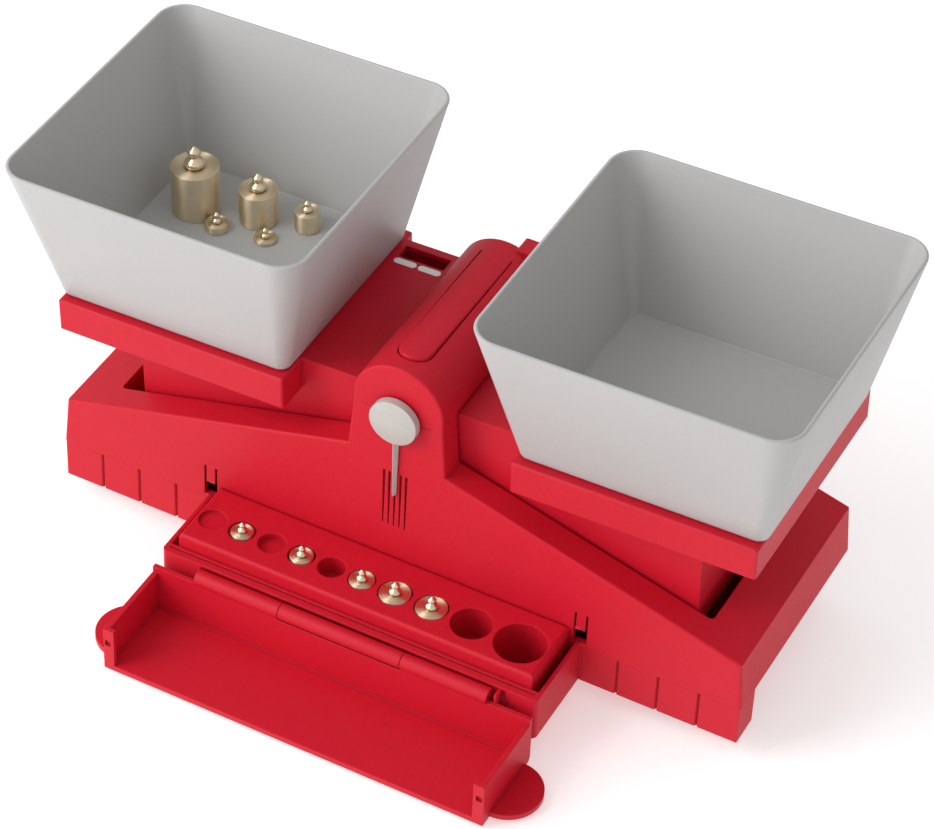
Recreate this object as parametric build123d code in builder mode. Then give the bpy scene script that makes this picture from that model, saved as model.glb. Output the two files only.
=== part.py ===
from build123d import *

import os
from math import radians, sin, tan

# Two-bucket precision balance for a school bench, in millimetres.
# X runs along the beam, Y runs to the back and Z is up. The pieces are drawn about the
# base's middle plane, and the lid of the weights compartment lies open.

os.makedirs("parts", exist_ok=True)

# Driving dimensions of the base
base_length = 270.0
base_depth = 91.0
foot_height = 8.0
parting_height = 16.6      # heights of the base are measured from the tray's underside
end_height = 36.5
pivot_height = 88.0        # also the level of the beam's top
shoulder_drop = 19.7       # from the beam's axis down to the shoulder
shoulder_height = pivot_height - shoulder_drop
shoulder_width = 37.8
hub_width = 34.4
end_draft = 1.8
face_draft = 0.7           # degrees, all round the housing
wall = 2.4
overrun = 1.0              # how far a cutting tool runs past the face that it cuts
edge_round = 0.9
gap = 0.3                  # between pieces that are set beside each other
fit = 0.05                 # radial clearance of a running or seated fit

# Well that the beam swings in, and the towers that carry its shaft
well_end = 17.9            # from the base's ends to the well
well_length = base_length - 2 * well_end
front_room = 11.1          # from the front face to the well
well_front = base_depth / 2 - front_room    # from the middle plane towards the user
well_back = base_depth / 2 - wall           # from the middle plane towards the back
well_wall = 2.0
well_corner = 2.0
shelf_width = 9.8          # behind the rear tower
hub_back = well_back - shelf_width
rear_tower_depth = 9.7
beam_gap = 1.5             # between the beam and the walls beside it
rest_lean = 1.7            # degrees that the loaded beam dips to the left

# Levels of the base above the table
underside = foot_height
parting = underside + parting_height
end_top = underside + end_height
shoulder = underside + shoulder_height
pivot = underside + pivot_height

# Pointer scale on the front face
scale_count = 5
scale_pitch = 2.15
scale_drop = 25.6          # from the beam's axis down to the marks
scale_length = 24.6
scale_top_width = 1.1
scale_foot_width = 0.4
scale_depth = 1.6

# Snap tongues for the lid, cut into the housing's front wall
latch_spacing = 147.0
latch_width = 3.5
latch_slit = 0.9
latch_top_height = 31.5
latch_foot_height = 24.0
latch_window_height = 6.0
latch_nub_height = 1.0
latch_nub_length = 1.8
latch_nub_reach = 0.55
catch_spacing = 145.2      # between the nubs, and between the lid's catches

# Base tray
end_recess = 10.0
strip_depth = 12.5
strip_setback = 0.5
tray_setback = 0.3
tray_floor = 2.4
groove_pitch = 15.4
groove_count = 3
groove_width = 1.3
groove_depth = 0.9
parting_bevel = 0.5        # shadow line between the tray's strip and the housing

# Weights compartment in front of the tray
drawer_length = 148.0
drawer_reach = 32.9        # from the base's front face to the drawer's
drawer_front = base_depth / 2 + drawer_reach
drawer_height = 18.6
drawer_floor = 2.0
drawer_corner = 2.0
drawer_end_wall = 1.5
ledge = 4.7                # in front of the rack
ledge_groove_inset = 2.8   # from the drawer's front face to the fine groove along the ledge
ledge_groove_line = drawer_front - ledge_groove_inset
ledge_groove_width = 0.7

# Rack with the row of holes for the weights
rack_length = 139.2
rack_front = drawer_front - ledge
rack_height = 24.2
rack_round = 1.3
rack_wall = 1.6
cup_wall = 1.2
hole_spacing = 1.8         # left between one hole and the next
hole_reach = 16.0          # from the base's front face to the row's centres
hole_line = base_depth / 2 + hole_reach

# Lid, hinged along the drawer's front
hinge_reach = 2.8          # from the drawer's front face to the hinge axis
hinge_line = drawer_front + hinge_reach
hinge_height = 15.4
knuckle_radius = 3.0
base_knuckle_length = 47.8
knuckle_gap = 0.3
barrel_length = 115.0
groove_clearance = 0.6
pin_room = 4.6             # hollow beside the barrel's right end, where the pin goes in
pin_diameter = 2.0
lid_height = 37.4          # closed roof above the tray's underside
lid_length = 148.8
lid_wall = 1.9
roof_thickness = 2.2
lid_front_wall = 1.8
lid_clearance = 0.4        # between the closed lid's edge and the base's front face
lid_reach = drawer_reach + hinge_reach - lid_clearance    # from the hinge axis to the free edge
lid_round = 2.0
lid_edge_height = 18.8     # closed rim of the end walls above the tray's underside
lid_strip_drop = 2.4       # the front wall reaches this much further than the end walls
ear_radius = 12.7
ear_offset = 17.5          # from the hinge axis to the ears' centres
pad_width = 4.1
pad_depth = 1.8
catch_width = 1.8
catch_height = 2.6

# Hub cap and brake tongue
arch_radius = 17.2
arch_rise = 4.4            # arch centre above the seam
cap_wall = 2.2
tongue_width = 11.8
tongue_back_inset = 7.5    # from the cap's back to the tongue's hinge
tongue_back = hub_back - tongue_back_inset
tongue_front_inset = 7.1   # from the base's front face to the tongue's nose
tongue_front = base_depth / 2 - tongue_front_inset
tongue_slit = 0.45
cap_lift = 2.0             # room over the beam's arms below the cap's sides
tongue_lift = 1.2          # how far the tongue's front end stands above the cap
tongue_round = 0.8
brake_rib_width = 6.0
brake_rib_depth = 3.0
brake_rib_inset = 7.4      # from the well's front to the rib
brake_rib_line = well_front - brake_rib_inset
brake_rib_gap = 3.2        # between the rib and the beam's boss, not pressed
lug_side = 4.5             # small lug behind the cap, right of the middle
lug_width = 8.4
lug_reach = 6.4
lug_height = 14.0
lug_drop = 0.3             # from the cap's crown to the lug's top
lug_round = 1.0

# Beam
beam_plate = 2.2
beam_wall = 2.0
arm_skirt = 12.0
box_swing = 7.6            # room at the boxes' outer ends, where the beam tilts
box_outer = well_length / 2 - box_swing
box_inner = 17.0
box_drop = 58.0            # from the beam's axis down to the boxes' lower rim
tray_length = 90.6
tray_end_inset = 0.6       # from the base's ends to the trays'
tray_spacing = base_length - tray_length - 2 * tray_end_inset
tray_depth = 93.4
tray_corner = 1.0
tray_rim = 12.8
tray_bevel = 0.6
boss_radius = 5.5
shaft_diameter = 4.0
notch_room = 6.5           # beside the rear tower, below the arms, where the boxes swing
keel_width = 30.0
keel_foot_width = 17.0
keel_drop = 36.0
keel_inset = 11.0          # from the towers to the keel plates' middles
keel_thickness = 2.4
ballast_diameter = 12.0
ballast_inset = 6.0        # from the towers to the rod's ends
ballast_drop = 28.0

# Openings in the left arm, and the white trim clip below them
window_length = 18.3
window_depth = 6.4
window_x = 32.8
window_inset = 7.9         # from the well's back to the window's middle
window_line = well_back - window_inset
slot_length = 9.0
slot_width = 3.0
slot_pitch = 9.7
slot_inset = 13.5          # from the well's back to the slots' middle
slot_line = well_back - slot_inset
clip_depth = 5.4
clip_thickness = 1.6

# Bushes and pointer
bush_diameter = 8.0
bush_flange = 10.0
thrust_gap = 0.35          # between a bush's flange and the beam's boss
knob_radius = 9.0
knob_thickness = 2.9
knob_dome = 1.1
knob_gap = 0.8
needle_reach = 34.7        # from the axis to the tip
needle_width = 2.9
needle_tip_width = 1.8
needle_depth = 2.2
needle_tip_depth = 1.4
knob_bore_depth = 2.2

# Buckets
bucket_offset = 0.8        # of each bucket beyond its tray's middle
bucket_spacing = tray_spacing + 2 * bucket_offset
bucket_height = 59.0
bucket_mouth = 117.4
bucket_foot = tray_length
bucket_foot_depth = 86.4
bucket_wall = 1.5
bucket_floor = 2.0
mouth_corner = 11.0
foot_corner = 4.0
foot_round = 1.6

# Brass weights: nominal grams, body diameter, body height, knob diameter, knob height, hole
weight_sizes = {
    "50g": (17.8, 19.4, 6.4, 9.0),
    "20g": (14.2, 13.8, 5.2, 7.2),
    "10g": (11.6, 10.0, 3.9, 5.2),
    "5g": (9.4, 7.8, 3.4, 4.8),
    "2g": (8.7, 3.0, 3.2, 4.6),
    "1g": (8.3, 1.5, 2.9, 4.2),
}
small_hole = 10.2
middle_hole = 12.5
large_hole = 15.1
largest_hole = 19.0
weight_proud = 0.2         # how far a racked weight's body stands above the rack
body_bevel = 0.45          # bright bevel round a weight's body
# Shares of the knob's radius and height, from its foot up over two beads to its finial
stem_shares = [(0.82, 0.0), (0.68, 0.08)]
low_bead_shares = (1.0, 0.27)
neck_shares = (0.56, 0.47)
high_bead_shares = (0.92, 0.67)
finial_shares = [(0.48, 0.85), (0.14, 0.96)]
loose_place_shares = {     # of the bucket's foot, from its centre, for the weights in the bucket
    "50g": (-0.304, 0.213),
    "20g": (-0.052, 0.272),
    "5g": (0.144, 0.317),
    "2g": (-0.168, 0.142),
    "1g": (0.036, 0.170),
}

# Fasteners and feet
foot_diameter = 16.0
foot_taper = 1.5
foot_stud = 5.0
foot_barb = 6.6
foot_barb_height = 2.4
foot_x = 108.0
foot_inset = 15.5          # from the base's front and back
foot_y = base_depth / 2 - foot_inset
screw_head = 5.6
screw_head_height = 2.2
screw_shank = 2.9
screw_length = 24.0
screw_socket = 2.5
screw_socket_depth = 1.2
screw_hole = 3.5
post_diameter = 6.6
post_wall = 1.8
screw_x = 113.0
screw_inset = 6.1
screw_y = base_depth / 2 - screw_inset
rear_screw_x = 121.5
rear_screw_inset = 15.5
rear_screw_y = base_depth / 2 - rear_screw_inset
boss_height = 12.0
screw_places = [
    (-screw_x, -screw_y),
    (0, -screw_y),
    (screw_x, -screw_y),
    (-rear_screw_x, rear_screw_y),
    (0, hub_back + post_diameter / 2 - gap),
    (rear_screw_x, rear_screw_y),
]


def front_plane(y):
    """Plane parallel to the front face at a distance y behind the middle, seen from the front."""
    return Plane.XZ.offset(-y)


def front_outline(inset, bottom):
    """Front view of the housing, drawn in by inset, from the level bottom up to the seam."""
    right_side = [
        (base_length / 2 - inset, bottom),
        (base_length / 2 - end_draft - inset, end_top - inset),
        (shoulder_width / 2 - inset, shoulder - inset),
        (hub_width / 2 - inset, pivot),
    ]
    left_side = [(-x, z) for x, z in reversed(right_side)]
    return right_side + left_side


# The finished pieces are moved along Y so that the origin lies on the table, under the
# middle of the whole outline
outline_middle = (bucket_mouth / 2 - hinge_line - lid_reach) / 2


# The beam is drawn level and written as it rests in use, dipped to the left about its axis
beam_axis = Axis((0, 0, pivot), (0, 1, 0))
rim_shift = bucket_height * sin(radians(rest_lean))


def label_and_write(part, name, lean=0):
    """Lean a finished piece, move it into place over the origin, label it and write its file."""
    placed = part.rotate(beam_axis, -lean).moved(Location((rim_shift, -outline_middle, 0)))
    placed.label = name
    export_step(placed, f"parts/{name}.step")


# Upper housing: a drafted shell with a long well, front and rear towers and snap tongues
well_middle = (well_back - well_front) / 2
well_depth = well_back + well_front
tower_front = hub_back - rear_tower_depth
shelf_depth = well_back + overrun - tower_front
hub_face = -base_depth / 2 + (pivot - parting) * tan(radians(face_draft))
seat_back = hub_back - cap_wall / 2

with BuildPart() as housing_cavity:
    with BuildSketch(Plane.XZ):
        with BuildLine():
            Polyline(*front_outline(wall, parting - overrun), close=True)
        make_face()
    extrude(amount=base_depth / 2 - wall, both=True)
    with BuildSketch(Plane.XY.offset(parting - overrun)):
        with Locations((0, well_middle)):
            RectangleRounded(
                well_length + 2 * well_wall, well_depth + 2 * well_wall, well_corner + well_wall
            )
    extrude(amount=pivot - parting + 2 * overrun, mode=Mode.SUBTRACT)

with BuildPart() as well_cut:
    with BuildSketch(Plane.XY.offset(parting - overrun)):
        with Locations((0, well_middle)):
            RectangleRounded(well_length, well_depth, well_corner)
    extrude(amount=pivot - parting + 2 * overrun)
    # The rear tower and its shelf interrupt the well
    with BuildSketch(Plane.XY.offset(parting - overrun)):
        with Locations((0, tower_front + shelf_depth / 2)):
            Rectangle(shoulder_width, shelf_depth)
    extrude(amount=pivot - parting + 2 * overrun, mode=Mode.SUBTRACT)

with BuildPart() as upper_housing:
    with BuildSketch(Plane.XY.offset(parting)):
        Rectangle(base_length, base_depth)
    extrude(amount=pivot - parting, taper=face_draft)
    with BuildSketch(Plane.XZ):
        with BuildLine():
            Polyline(*front_outline(0, parting - overrun), close=True)
        make_face()
    extrude(amount=base_depth, both=True, mode=Mode.INTERSECT)
    # Behind the rear tower the hub drops to a shelf at the shoulder's level
    with BuildSketch(Plane.XY.offset(shoulder)):
        with Locations((0, hub_back + base_depth / 2)):
            Rectangle(base_length, base_depth)
    extrude(amount=pivot - shoulder + overrun, mode=Mode.SUBTRACT)
    rim = upper_housing.edges().filter_by(lambda e: e.center().Z > parting + edge_round)
    fillet(rim.filter_by(lambda e: abs(e.center().Y) > well_front), radius=edge_round)
    add(housing_cavity.part, mode=Mode.SUBTRACT)
    add(well_cut.part, mode=Mode.SUBTRACT)
    # Pockets that hollow the rear tower and the shelf behind it
    with BuildSketch(Plane.XY.offset(parting - overrun)):
        with Locations((0, (tower_front + hub_back) / 2)):
            Rectangle(hub_width - 2 * wall, rear_tower_depth - 2 * well_wall)
    extrude(amount=pivot - parting + 2 * overrun, mode=Mode.SUBTRACT)
    shelf_pocket = base_depth / 2 - wall - hub_back
    with BuildSketch(Plane.XY.offset(parting - overrun)):
        with Locations((0, hub_back + shelf_pocket / 2)):
            Rectangle(hub_width - 2 * wall, shelf_pocket)
    extrude(amount=shoulder - wall - parting + overrun, mode=Mode.SUBTRACT)
    # Half seats of the two bushes at the seam
    with BuildSketch(front_plane(seat_back)):
        with Locations((0, pivot)):
            Circle(bush_diameter / 2 + fit)
    extrude(amount=seat_back + base_depth, mode=Mode.SUBTRACT)
    # Five tapered scale marks
    for index in range(scale_count):
        mark_x = (index - (scale_count - 1) / 2) * scale_pitch
        mark_top = pivot - scale_drop
        with BuildSketch(front_plane(-base_depth / 2 - overrun)):
            with BuildLine():
                Polyline(
                    (mark_x - scale_top_width / 2, mark_top),
                    (mark_x + scale_top_width / 2, mark_top),
                    (mark_x + scale_foot_width / 2, mark_top - scale_length),
                    (mark_x - scale_foot_width / 2, mark_top - scale_length),
                    close=True,
                )
            make_face()
        extrude(amount=-(scale_depth + overrun), mode=Mode.SUBTRACT)
    # Two snap tongues, each freed by two slits and a window, with a nub at its tip
    for side in (-1, 1):
        latch_x = side * latch_spacing / 2
        with BuildSketch(front_plane(-base_depth / 2 - overrun)):
            slit_height = latch_top_height - latch_foot_height + latch_window_height
            slit_middle = underside + latch_top_height - slit_height / 2
            with Locations(
                (latch_x - (latch_width + latch_slit) / 2, slit_middle),
                (latch_x + (latch_width + latch_slit) / 2, slit_middle),
            ):
                Rectangle(latch_slit, slit_height)
            with Locations((latch_x, underside + latch_foot_height - latch_window_height / 2)):
                Rectangle(latch_width + overrun, latch_window_height)
        extrude(amount=-(wall + edge_round + overrun), mode=Mode.SUBTRACT)
        nub_low = underside + latch_foot_height
        with BuildSketch(Plane.YZ.offset(side * catch_spacing / 2 - latch_nub_length / 2)):
            with BuildLine():
                Polyline(
                    (-base_depth / 2 + edge_round, nub_low),
                    (-base_depth / 2 - latch_nub_reach, nub_low + latch_nub_height / 2),
                    (-base_depth / 2 + edge_round, nub_low + 2 * latch_nub_height),
                    close=True,
                )
            make_face()
        extrude(amount=latch_nub_length)
    # Screw bosses hang from inside the roof over the tray's posts
    with BuildSketch(Plane.XY.offset(parting)):
        with Locations(*screw_places):
            Circle(post_diameter / 2)
    extrude(amount=boss_height)
    with BuildSketch(Plane.XY.offset(parting)):
        with Locations(*screw_places):
            Circle(screw_shank / 2)
    extrude(amount=boss_height, mode=Mode.SUBTRACT)
label_and_write(upper_housing.part, "upper_housing")


# Base tray with its full-width front strip and the box of the weights compartment
tray_front = -base_depth / 2 + tray_setback
tray_back = base_depth / 2 - tray_setback
drawer_depth = drawer_front + tray_front
rack_back = base_depth / 2 + gap
rack_depth = rack_front - rack_back
rack_middle = -(rack_front + rack_back) / 2
hinge_y = -hinge_line
hinge_z = underside + hinge_height


foot_places = [(x, y) for x in (-foot_x, foot_x) for y in (-foot_y, foot_y)]


def tray_plan(inset):
    """Plan of the tray without the drawer, drawn in by inset."""
    with Locations((0, (tray_front + tray_back) / 2)):
        Rectangle(base_length - 2 * end_recess - 2 * inset, tray_back - tray_front - 2 * inset)
    with Locations((0, tray_front + strip_depth / 2)):
        Rectangle(base_length - 2 * strip_setback - 2 * inset, strip_depth - 2 * inset)


with BuildPart() as base_tray:
    with BuildSketch(Plane.XY.offset(underside)):
        tray_plan(0)
    extrude(amount=parting_height)
    strip_edge = base_tray.edges().filter_by(Axis.X).sort_by(Axis.Y)[:2].sort_by(Axis.Z)[-1]
    chamfer(strip_edge, length=parting_bevel)
    with BuildSketch(Plane.XY.offset(underside + tray_floor)):
        tray_plan(wall)
    extrude(amount=parting_height, mode=Mode.SUBTRACT)
    # Box of the weights compartment
    with BuildSketch(Plane.XY.offset(underside)):
        with Locations((0, tray_front - drawer_depth / 2)):
            Rectangle(drawer_length, drawer_depth)
    extrude(amount=parting_height)
    with BuildSketch(Plane.XY.offset(underside + parting_height)):
        with Locations((0, -base_depth / 2 - (drawer_front - base_depth / 2) / 2)):
            Rectangle(drawer_length, drawer_front - base_depth / 2)
    extrude(amount=drawer_height - parting_height)
    front_corners = base_tray.edges().filter_by(Axis.Z).filter_by(
        lambda e: abs(e.center().Y + drawer_front) < drawer_corner
    )
    fillet(front_corners, radius=drawer_corner)
    with BuildSketch(Plane.XY.offset(underside + drawer_floor)):
        with Locations((0, rack_middle)):
            Rectangle(drawer_length - 2 * drawer_end_wall, rack_depth + 2 * gap)
    extrude(amount=drawer_height, mode=Mode.SUBTRACT)
    # Fine groove along the ledge in front of the rack
    with BuildSketch(Plane.XY.offset(underside + drawer_height - ledge_groove_width)):
        with Locations((0, -ledge_groove_line)):
            Rectangle(drawer_length - 2 * drawer_corner, ledge_groove_width)
    extrude(amount=ledge_groove_width + overrun, mode=Mode.SUBTRACT)
    # Moulded grooves that divide the front strip into blocks
    for side in (-1, 1):
        for index in range(1, groove_count + 1):
            groove_x = side * (base_length / 2 - strip_setback - index * groove_pitch)
            with BuildSketch(Plane.XY.offset(underside)):
                with BuildLine():
                    Polyline(
                        (groove_x - groove_width / 2, tray_front),
                        (groove_x, tray_front + groove_depth),
                        (groove_x + groove_width / 2, tray_front),
                        close=True,
                    )
                make_face()
            extrude(amount=parting_height, mode=Mode.SUBTRACT)
    # Hollow along the drawer's front that the lid's knuckles turn in
    with BuildSketch(Plane.YZ.offset(-barrel_length / 2 - groove_clearance)):
        with Locations((hinge_y, hinge_z)):
            Circle(knuckle_radius + groove_clearance)
    extrude(amount=barrel_length + groove_clearance + pin_room, mode=Mode.SUBTRACT)
    # Middle knuckle on its bracket
    with BuildSketch(Plane.YZ.offset(-base_knuckle_length / 2)):
        with Locations((hinge_y, hinge_z)):
            Circle(knuckle_radius)
        bracket_depth = hinge_line - drawer_front + drawer_corner
        with Locations((hinge_y + bracket_depth / 2, hinge_z - knuckle_radius / 2)):
            Rectangle(bracket_depth, knuckle_radius)
    extrude(amount=base_knuckle_length)
    with BuildSketch(Plane.YZ.offset(-base_knuckle_length / 2)):
        with Locations((hinge_y, hinge_z)):
            Circle(pin_diameter / 2 + fit)
    extrude(amount=base_knuckle_length, mode=Mode.SUBTRACT)
    # Hollow screw posts, open at the underside for the heads
    with BuildSketch(Plane.XY.offset(underside)):
        with Locations(*screw_places):
            Circle(screw_head / 2 + post_wall)
    extrude(amount=parting_height - gap)
    with Locations(*[(x, y, underside) for x, y in screw_places]):
        with Locations(Rotation(180, 0, 0)):
            CounterBoreHole(
                radius=screw_hole / 2,
                counter_bore_radius=screw_head / 2 + gap,
                counter_bore_depth=screw_head_height + gap,
                depth=parting_height,
            )
    with Locations(*[(x, y, underside + tray_floor) for x, y in foot_places]):
        Hole(radius=foot_stud / 2 + fit, depth=tray_floor + overrun)
label_and_write(base_tray.part, "base_tray")


# Rubber feet: tapered discs with a stud and a barb that snaps through the floor
foot_profile = [
    (0, 0),
    (foot_diameter / 2 - foot_taper, 0),
    (foot_diameter / 2, foot_height),
    (foot_stud / 2, foot_height),
    (foot_stud / 2, foot_height + tray_floor + fit),
    (foot_barb / 2, foot_height + tray_floor + fit),
    (foot_stud / 2, foot_height + tray_floor + foot_barb_height),
    (0, foot_height + tray_floor + foot_barb_height),
]

with BuildPart() as rubber_feet:
    for x, y in foot_places:
        foot_plane = Plane((x, y, 0), x_dir=(1, 0, 0), z_dir=(0, -1, 0))
        with BuildSketch(foot_plane):
            with BuildLine():
                Polyline(*foot_profile, close=True)
            make_face()
        revolve(axis=Axis((x, y, 0), (0, 0, 1)))
label_and_write(rubber_feet.part, "rubber_feet")


# Screws that hold the housing on the tray, heads up inside the hollow posts
head_level = underside + fit
with BuildPart() as base_screws:
    with BuildSketch(Plane.XY.offset(head_level)):
        with Locations(*screw_places):
            Circle(screw_head / 2)
    extrude(amount=screw_head_height)
    with BuildSketch(Plane.XY.offset(head_level + screw_head_height)):
        with Locations(*screw_places):
            Circle(screw_shank / 2 - fit)
    extrude(amount=screw_length - screw_head_height)
    with BuildSketch(Plane.XY.offset(head_level)):
        with Locations(*screw_places):
            RegularPolygon(radius=screw_socket / 2, side_count=6)
    extrude(amount=screw_socket_depth, mode=Mode.SUBTRACT)
label_and_write(base_screws.part, "base_screws")


# Rack: a shelled block with a row of round cups, graded in diameter and depth
rack_rows = [
    ("1g", small_hole),
    ("1g", small_hole),
    ("2g", small_hole),
    ("2g", small_hole),
    ("5g", small_hole),
    ("5g", small_hole),
    ("10g", middle_hole),
    ("10g", middle_hole),
    ("20g", large_hole),
    ("50g", largest_hole),
]
row_length = sum(size for _, size in rack_rows) + hole_spacing * (len(rack_rows) - 1)
rack_holes = []
edge = -row_length / 2
for name, size in rack_rows:
    rack_holes.append((name, size, edge + size / 2))
    edge += size + hole_spacing

rack_top = underside + rack_height
rack_low = underside + drawer_floor

with BuildPart() as weight_rack:
    with BuildSketch(Plane.XY.offset(rack_low)):
        with Locations((0, rack_middle)):
            Rectangle(rack_length, rack_depth)
    extrude(amount=rack_top - rack_low)
    fillet(weight_rack.edges().group_by(Axis.Z)[-1], radius=rack_round)
    with BuildSketch(Plane.XY.offset(rack_low)):
        with Locations((0, rack_middle)):
            Rectangle(rack_length - 2 * rack_wall, rack_depth - 2 * rack_wall)
    extrude(amount=rack_top - rack_low - rack_wall, mode=Mode.SUBTRACT)
    for name, size, x in rack_holes:
        cup_depth = weight_sizes[name][1] - weight_proud
        with BuildSketch(Plane.XY.offset(rack_top - cup_depth - cup_wall)):
            with Locations((x, -hole_line)):
                Circle(size / 2 + cup_wall)
        extrude(amount=cup_depth)
    for name, size, x in rack_holes:
        cup_depth = weight_sizes[name][1] - weight_proud
        with BuildSketch(Plane.XY.offset(rack_top - cup_depth)):
            with Locations((x, -hole_line)):
                Circle(size / 2)
        extrude(amount=cup_depth + overrun, mode=Mode.SUBTRACT)
label_and_write(weight_rack.part, "weight_rack")


# Lid, modelled lying open: its roof is below, its free edge towards the user
lid_floor = hinge_z - (lid_height - hinge_height)
lid_rim = hinge_z - (lid_edge_height - hinge_height)
lid_back = hinge_y - (hinge_line - drawer_front - gap) + lid_front_wall
lid_front = hinge_y - lid_reach
lid_depth = lid_back - lid_front
lid_middle = (lid_back + lid_front) / 2
knuckle_start = base_knuckle_length / 2 + knuckle_gap
knuckle_length = barrel_length / 2 - knuckle_start

with BuildPart() as lid:
    with BuildSketch(Plane.XY.offset(lid_floor)):
        with Locations((0, lid_middle)):
            Rectangle(lid_length, lid_depth)
    extrude(amount=lid_rim - lid_floor)
    # The front wall stands higher than the end walls, up to the hinge
    with BuildSketch(Plane.XY.offset(lid_floor)):
        with Locations((0, lid_back - lid_front_wall / 2)):
            Rectangle(lid_length, lid_front_wall)
    extrude(amount=lid_rim + lid_strip_drop - lid_floor)
    roof_corner = lid.edges().filter_by(Axis.X).sort_by(Axis.Z)[:2].sort_by(Axis.Y)[-1]
    fillet(roof_corner, radius=lid_round)
    with BuildSketch(Plane.XY.offset(lid_floor + roof_thickness)):
        with Locations((0, lid_middle - lid_front_wall)):
            Rectangle(lid_length - 2 * lid_wall, lid_depth)
    extrude(amount=lid_rim, mode=Mode.SUBTRACT)
    # Round thumb ears in the plane of the roof
    with BuildSketch(Plane.XY.offset(lid_floor)):
        with Locations((0, hinge_y - ear_offset)):
            SlotCenterToCenter(lid_length, 2 * ear_radius)
        with Locations((0, hinge_y - ear_offset)):
            Rectangle(lid_length, 2 * ear_radius, mode=Mode.SUBTRACT)
    extrude(amount=roof_thickness)
    # Pads at the free corners, each with a catch for a snap tongue
    with BuildSketch(Plane.XY.offset(lid_floor)):
        for side in (-1, 1):
            with Locations((side * (lid_length - pad_width) / 2, lid_front + pad_depth / 2)):
                Rectangle(pad_width, pad_depth)
    extrude(amount=lid_rim - lid_floor)
    catch_level = hinge_z - (latch_foot_height + latch_nub_height - hinge_height)
    with BuildSketch(front_plane(lid_front - overrun)):
        for side in (-1, 1):
            with Locations((side * catch_spacing / 2, catch_level)):
                Rectangle(catch_width + 2 * gap, catch_height)
    extrude(amount=-(pad_depth / 2 + overrun), mode=Mode.SUBTRACT)
    # Two outer knuckles, bored for the pin
    for side in (-1, 1):
        knuckle_low = min(side * knuckle_start, side * (knuckle_start + knuckle_length))
        with BuildSketch(Plane.YZ.offset(knuckle_low)):
            with Locations((hinge_y, hinge_z)):
                Circle(knuckle_radius)
        extrude(amount=knuckle_length)
        with BuildSketch(Plane.YZ.offset(knuckle_low)):
            with Locations((hinge_y, hinge_z)):
                Circle(pin_diameter / 2 + fit)
        extrude(amount=knuckle_length, mode=Mode.SUBTRACT)
    # Room for the middle knuckle
    with BuildSketch(Plane.YZ.offset(-base_knuckle_length / 2 - knuckle_gap)):
        with Locations((hinge_y, hinge_z)):
            Circle(knuckle_radius + gap)
    extrude(amount=base_knuckle_length + 2 * knuckle_gap, mode=Mode.SUBTRACT)
label_and_write(lid.part, "lid")

with BuildPart() as hinge_pin:
    with BuildSketch(Plane.YZ.offset(-barrel_length / 2 + knuckle_gap)):
        with Locations((hinge_y, hinge_z)):
            Circle(pin_diameter / 2)
    extrude(amount=barrel_length - 2 * knuckle_gap)
label_and_write(hinge_pin.part, "hinge_pin")


# Hub cap: a half-round hood over both towers, with a long slot for the brake tongue
cap_length = hub_back - hub_face
arch_level = pivot + arch_rise
crown = arch_level + arch_radius
# Back and front of the rooms between the cap's end walls and its two bearing walls
cap_rooms = [
    (hub_back - cap_wall, tower_front + well_wall),
    (tower_front, -well_front),
    (-well_front - well_wall, hub_face + cap_wall),
]


def arch_face(radius):
    """Front view of the hood: a half round on straight sides that end at the seam."""
    with Locations((0, arch_level)):
        Circle(radius)
    with Locations((0, (arch_level + pivot) / 2)):
        Rectangle(2 * radius, arch_rise)
    with Locations((0, pivot - radius)):
        Rectangle(2 * radius, 2 * radius, mode=Mode.SUBTRACT)


def tongue_plan(slit, hinge_slit):
    """Plan of the brake tongue, round in front, grown by the slits beside and behind it."""
    back = tongue_back + hinge_slit
    nose = -tongue_front + tongue_width / 2
    with Locations((0, (back + nose) / 2)):
        Rectangle(tongue_width + 2 * slit, back - nose)
    with Locations((0, nose)):
        Circle(tongue_width / 2 + slit)


with BuildPart() as hub_cap:
    with BuildSketch(front_plane(hub_back)):
        arch_face(arch_radius)
    extrude(amount=cap_length)
    front_arch = hub_cap.edges().filter_by(
        lambda e: abs(e.center().Y - hub_face) < fit and e.center().Z > pivot + edge_round
    )
    fillet(front_arch, radius=edge_round)
    for room_back, room_front in cap_rooms:
        with BuildSketch(front_plane(room_back)):
            arch_face(arch_radius - cap_wall)
        extrude(amount=room_back - room_front, mode=Mode.SUBTRACT)
    # The cap's sides end above the beam's arms
    with BuildSketch(front_plane(tower_front)):
        with Locations((0, pivot)):
            Rectangle(2 * base_depth, 2 * cap_lift)
    extrude(amount=tower_front + well_front, mode=Mode.SUBTRACT)
    # Small lug on the back
    with BuildSketch(Plane.XY.offset(crown - lug_drop - lug_height)):
        with Locations((lug_side + lug_width / 2, hub_back + (lug_reach - cap_wall) / 2)):
            Rectangle(lug_width, lug_reach + cap_wall)
    extrude(amount=lug_height)
    lug_edges = hub_cap.edges().filter_by(lambda e: e.center().Y > hub_back + lug_reach / 4)
    fillet(lug_edges, radius=lug_round)
    with BuildSketch(front_plane(seat_back)):
        with Locations((0, pivot)):
            Circle(bush_diameter / 2 + fit)
    extrude(amount=seat_back + base_depth, mode=Mode.SUBTRACT)
    with BuildSketch(Plane.XY.offset(arch_level)):
        tongue_plan(tongue_slit, fit)
    extrude(amount=arch_radius + overrun, mode=Mode.SUBTRACT)
label_and_write(hub_cap.part, "hub_cap")


# Brake tongue: a blade bowed like the hood, rising to its nose, with a rib over the beam's boss
tongue_length = tongue_front + tongue_back
rise_plane = Plane(
    (0, tongue_back, arch_level), x_dir=(1, 0, 0), z_dir=(0, -tongue_length, tongue_lift)
)
rib_low = pivot + boss_radius + brake_rib_gap

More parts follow.
